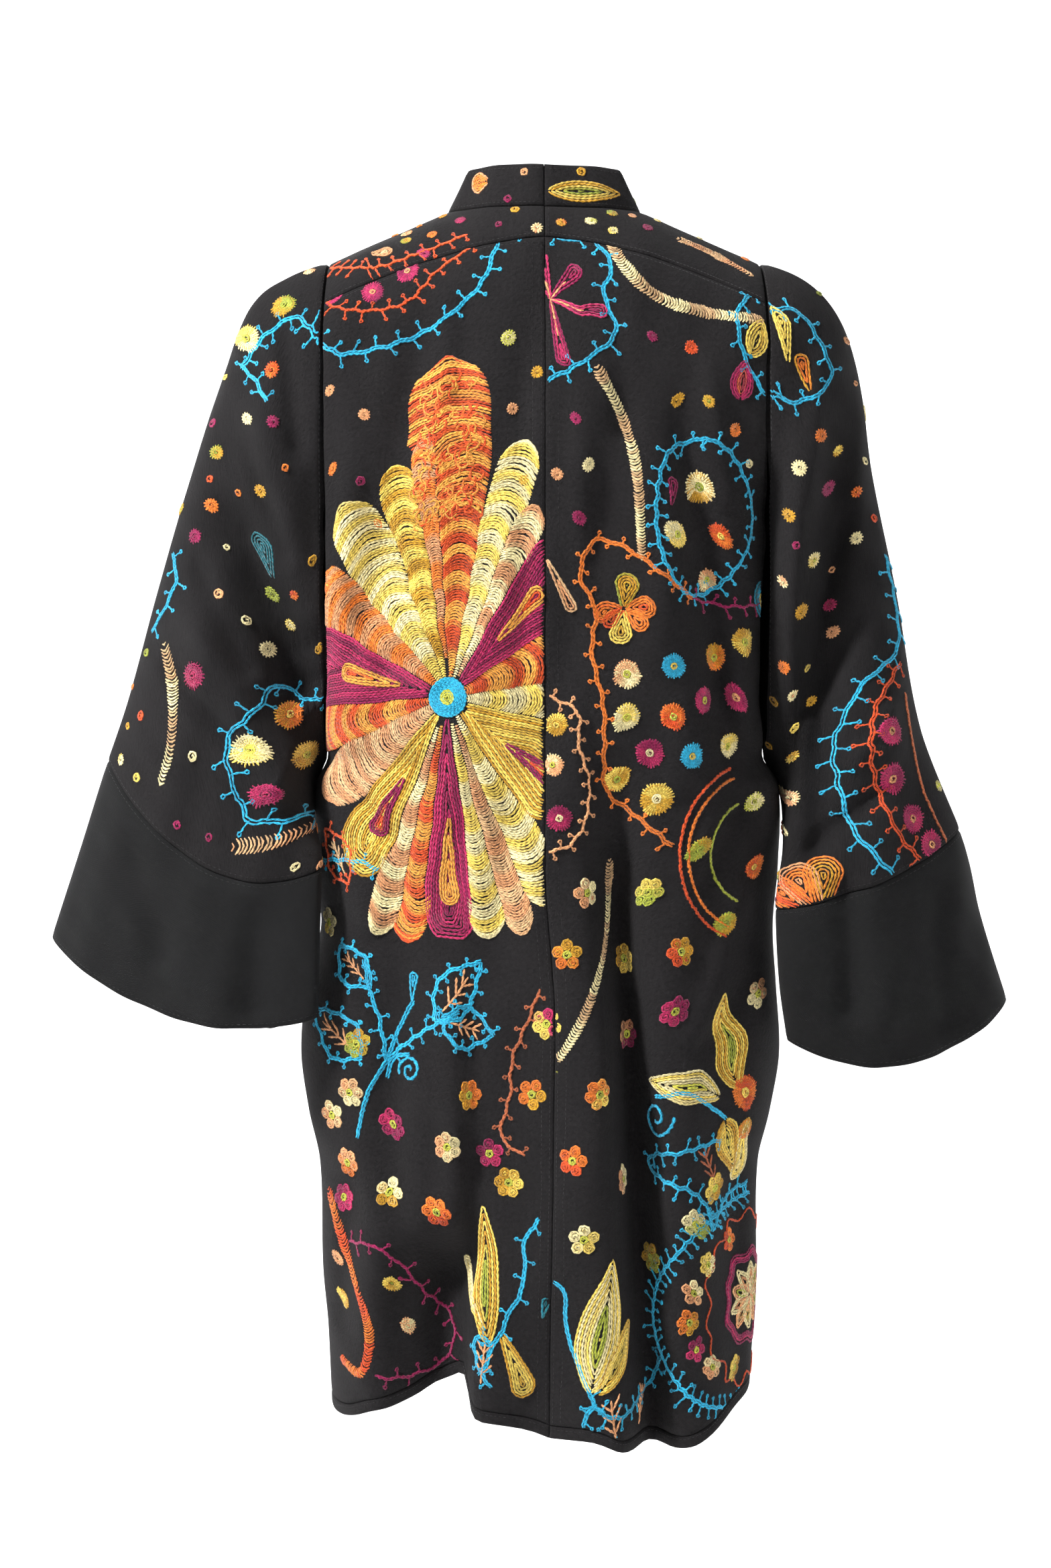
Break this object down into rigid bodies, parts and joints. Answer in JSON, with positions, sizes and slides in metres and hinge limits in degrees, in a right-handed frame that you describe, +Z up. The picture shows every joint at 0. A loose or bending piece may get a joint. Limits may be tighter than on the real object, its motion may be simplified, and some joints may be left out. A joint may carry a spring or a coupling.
{
  "type": "embroidered jacket",
  "caption": "Open-front embroidered wool jacket, cut like a kimono, with deep sleeves, wide twill cuffs, a neckband and a bound hem, held open in its worn shape.",
  "frame": {"origin": "between the two side neck points, at the height where the wearer's shoulders carry the cloth", "axes": "+Z up, the open front faces -Y, the wearer's left is +X"},
  "size_m": [0.7874, 0.2901, 1.0104],
  "materials": {
    "wool": "napped black wool, dull",
    "twill": "plain black cotton twill, dull",
    "embroidery": "wool yarn in chain stitch, many colours"
  },
  "bodies": {
    "root": {"back_left": "wool", "back_right": "wool", "yoke_left": "wool", "yoke_right": "wool", "front_left": "wool", "front_right": "wool", "sleeve_left": "wool", "sleeve_right": "wool", "neckband_left": "wool", "neckband_right": "wool", "hem_back_left": "wool", "hem_back_right": "wool", "hem_front_left": "wool", "hem_front_right": "wool", "cuff_left": "twill", "cuff_right": "twill"}
  },
  "joints": []
}
